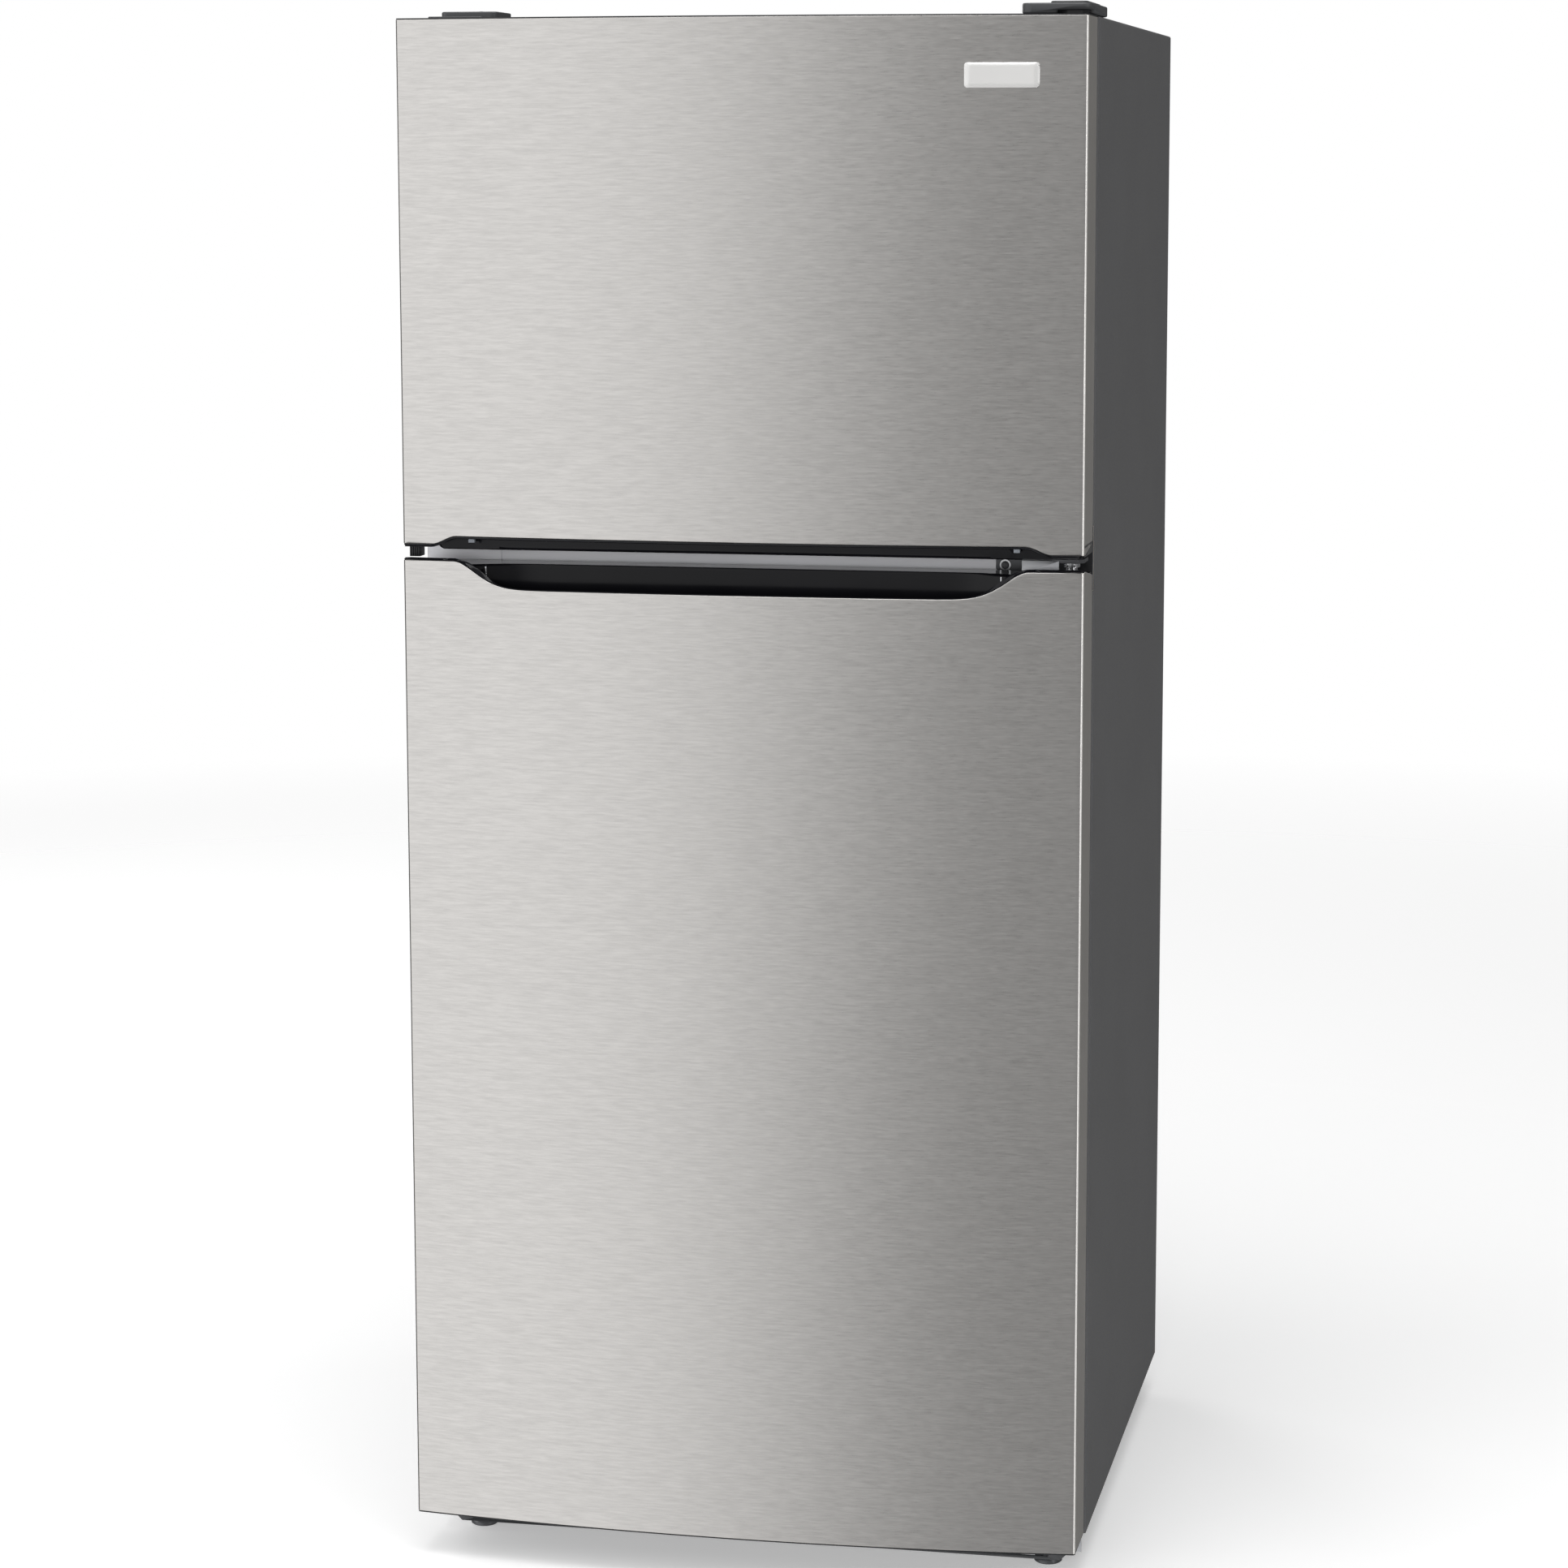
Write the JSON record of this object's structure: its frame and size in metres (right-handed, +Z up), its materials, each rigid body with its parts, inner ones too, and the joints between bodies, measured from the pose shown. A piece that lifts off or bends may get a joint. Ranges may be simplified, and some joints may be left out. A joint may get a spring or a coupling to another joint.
{
  "type": "top freezer refrigerator",
  "caption": "Free-standing top freezer refrigerator: bowed stainless doors with recessed grips, dark steel cabinet, hinged doors, shelves, bins and crisper drawers.",
  "frame": {"origin": "on the floor under the middle of the whole refrigerator", "axes": "+Z up, the doors face -Y, the hinges are on the +X side"},
  "size_m": [0.762, 0.818, 1.759],
  "materials": {
    "stainless": "satin",
    "cabinet_paint": "satin",
    "black_gloss": "gloss",
    "dark_plastic": "matte",
    "white_plastic": "satin",
    "gasket_vinyl": "matte",
    "zinc_steel": "satin",
    "grey_paint": "satin",
    "foam": "matte",
    "black_steel": "satin",
    "copper": "satin",
    "clear_plastic": "gloss",
    "shelf_glass": "gloss",
    "badge_metal": "satin"
  },
  "bodies": {
    "cabinet": {"cabinet_wrapper": "cabinet_paint", "rear_panel": "zinc_steel", "base_frame": "black_steel", "cabinet_insulation": "foam", "freezer_liner": "white_plastic", "fresh_food_liner": "white_plastic", "mullion_rail": "grey_paint", "mullion_cover_plate": "grey_paint", "top_hinge": "zinc_steel", "top_hinge_cover": "dark_plastic", "top_left_cover": "dark_plastic", "center_hinge": "grey_paint", "bottom_hinge": "black_steel", "toe_grille": "dark_plastic", "compressor": "black_steel", "condenser_coil": "black_steel", "condenser_fan_shroud": "black_steel", "machine_cover": "zinc_steel", "drain_pan": "dark_plastic", "power_inlet": "dark_plastic", "evaporator_coil": "copper", "evaporator_cover": "white_plastic", "control_housing": "white_plastic", "light_lens": "clear_plastic", "crisper_cover": "shelf_glass", "glass_shelf_upper": "shelf_glass", "glass_shelf_lower": "shelf_glass", "freezer_shelf": "white_plastic"},
    "freezer_door": {"freezer_door_skin": "stainless", "freezer_top_cap": "dark_plastic", "freezer_handle_trim": "black_gloss", "freezer_door_insulation": "foam", "freezer_door_liner": "white_plastic", "freezer_gasket": "gasket_vinyl", "freezer_rack_lower": "white_plastic", "freezer_rack_upper": "white_plastic", "badge": "badge_metal"},
    "fresh_food_door": {"fresh_food_door_skin": "stainless", "fresh_food_handle_pocket": "black_gloss", "fresh_food_bottom_cap": "dark_plastic", "fresh_food_door_insulation": "foam", "fresh_food_door_liner": "white_plastic", "fresh_food_gasket": "gasket_vinyl", "dairy_box": "white_plastic"},
    "leveling_leg_left": {"leveling_leg_left": "zinc_steel"},
    "leveling_leg_right": {"leveling_leg_right": "zinc_steel"},
    "rear_roller_left": {"rear_roller_left": "dark_plastic"},
    "rear_roller_right": {"rear_roller_right": "dark_plastic"},
    "condenser_fan": {"condenser_fan": "dark_plastic"},
    "evaporator_fan": {"evaporator_fan": "dark_plastic"},
    "crisper_left": {"crisper_left": "clear_plastic"},
    "crisper_right": {"crisper_right": "clear_plastic"},
    "humidity_slider_left": {"humidity_slider_left": "dark_plastic"},
    "humidity_slider_right": {"humidity_slider_right": "dark_plastic"},
    "temperature_knob": {"temperature_knob": "white_plastic"},
    "light_switch_plunger": {"light_switch_plunger": "white_plastic"},
    "door_bin_upper": {"door_bin_upper": "clear_plastic"},
    "door_bin_middle": {"door_bin_middle": "clear_plastic"},
    "door_bin_lower": {"door_bin_lower": "clear_plastic"},
    "dairy_lid": {"dairy_lid": "clear_plastic"}
  },
  "joints": [
    {"name": "freezer_door_hinge", "type": "hinge", "parent": "cabinet", "child": "freezer_door", "pos_m": [0.362, -0.341, 1.45], "axis": [0, 0, 1], "range_deg": [0, 130]},
    {"name": "fresh_food_door_hinge", "type": "hinge", "parent": "cabinet", "child": "fresh_food_door", "pos_m": [0.362, -0.341, 0.6], "axis": [0, 0, 1], "range_deg": [0, 130]},
    {"name": "leveling_leg_left_screw", "type": "slide", "parent": "cabinet", "child": "leveling_leg_left", "axis": [0, 0, -1], "range_m": [0, 0.012]},
    {"name": "rear_roller_left_spin", "type": "hinge", "parent": "cabinet", "child": "rear_roller_left", "pos_m": [-0.335, 0.34, 0.02], "axis": [1, 0, 0], "continuous": true},
    {"name": "crisper_left_slide", "type": "slide", "parent": "cabinet", "child": "crisper_left", "axis": [0, -1, 0], "range_m": [0, 0.03]},
    {"name": "humidity_slider_left_slide", "type": "slide", "parent": "crisper_left", "child": "humidity_slider_left", "axis": [1, 0, 0], "range_m": [0, 0.058]},
    {"name": "leveling_leg_right_screw", "type": "slide", "parent": "cabinet", "child": "leveling_leg_right", "axis": [0, 0, -1], "range_m": [0, 0.012]},
    {"name": "rear_roller_right_spin", "type": "hinge", "parent": "cabinet", "child": "rear_roller_right", "pos_m": [0.335, 0.34, 0.02], "axis": [1, 0, 0], "continuous": true},
    {"name": "crisper_right_slide", "type": "slide", "parent": "cabinet", "child": "crisper_right", "axis": [0, -1, 0], "range_m": [0, 0.03]},
    {"name": "humidity_slider_right_slide", "type": "slide", "parent": "crisper_right", "child": "humidity_slider_right", "axis": [1, 0, 0], "range_m": [0, 0.058]},
    {"name": "condenser_fan_spin", "type": "hinge", "parent": "cabinet", "child": "condenser_fan", "pos_m": [0.0065, 0.285, 0.165], "axis": [1, 0, 0], "continuous": true},
    {"name": "evaporator_fan_spin", "type": "hinge", "parent": "cabinet", "child": "evaporator_fan", "pos_m": [0, 0.29, 1.577], "axis": [0, 1, 0], "continuous": true},
    {"name": "temperature_knob_turn", "type": "hinge", "parent": "cabinet", "child": "temperature_knob", "pos_m": [0.105, -0.1805, 1.098], "axis": [0, 1, 0], "range_deg": [-120, 120]},
    {"name": "light_switch_press", "type": "slide", "parent": "cabinet", "child": "light_switch_plunger", "axis": [0, 1, 0], "range_m": [0, 0.005], "stiffness_N_per_m": 200, "springref_m": -0.007},
    {"name": "dairy_lid_hinge", "type": "hinge", "parent": "fresh_food_door", "child": "dairy_lid", "pos_m": [0.152, -0.309, 0.949], "axis": [1, 0, 0], "range_deg": [0, 85]},
    {"name": "door_bin_upper_lift", "type": "slide", "parent": "fresh_food_door", "child": "door_bin_upper", "axis": [0, 0, 1], "range_m": [0, 0.02]},
    {"name": "door_bin_middle_lift", "type": "slide", "parent": "fresh_food_door", "child": "door_bin_middle", "axis": [0, 0, 1], "range_m": [0, 0.02]},
    {"name": "door_bin_lower_lift", "type": "slide", "parent": "fresh_food_door", "child": "door_bin_lower", "axis": [0, 0, 1], "range_m": [0, 0.02]}
  ]
}
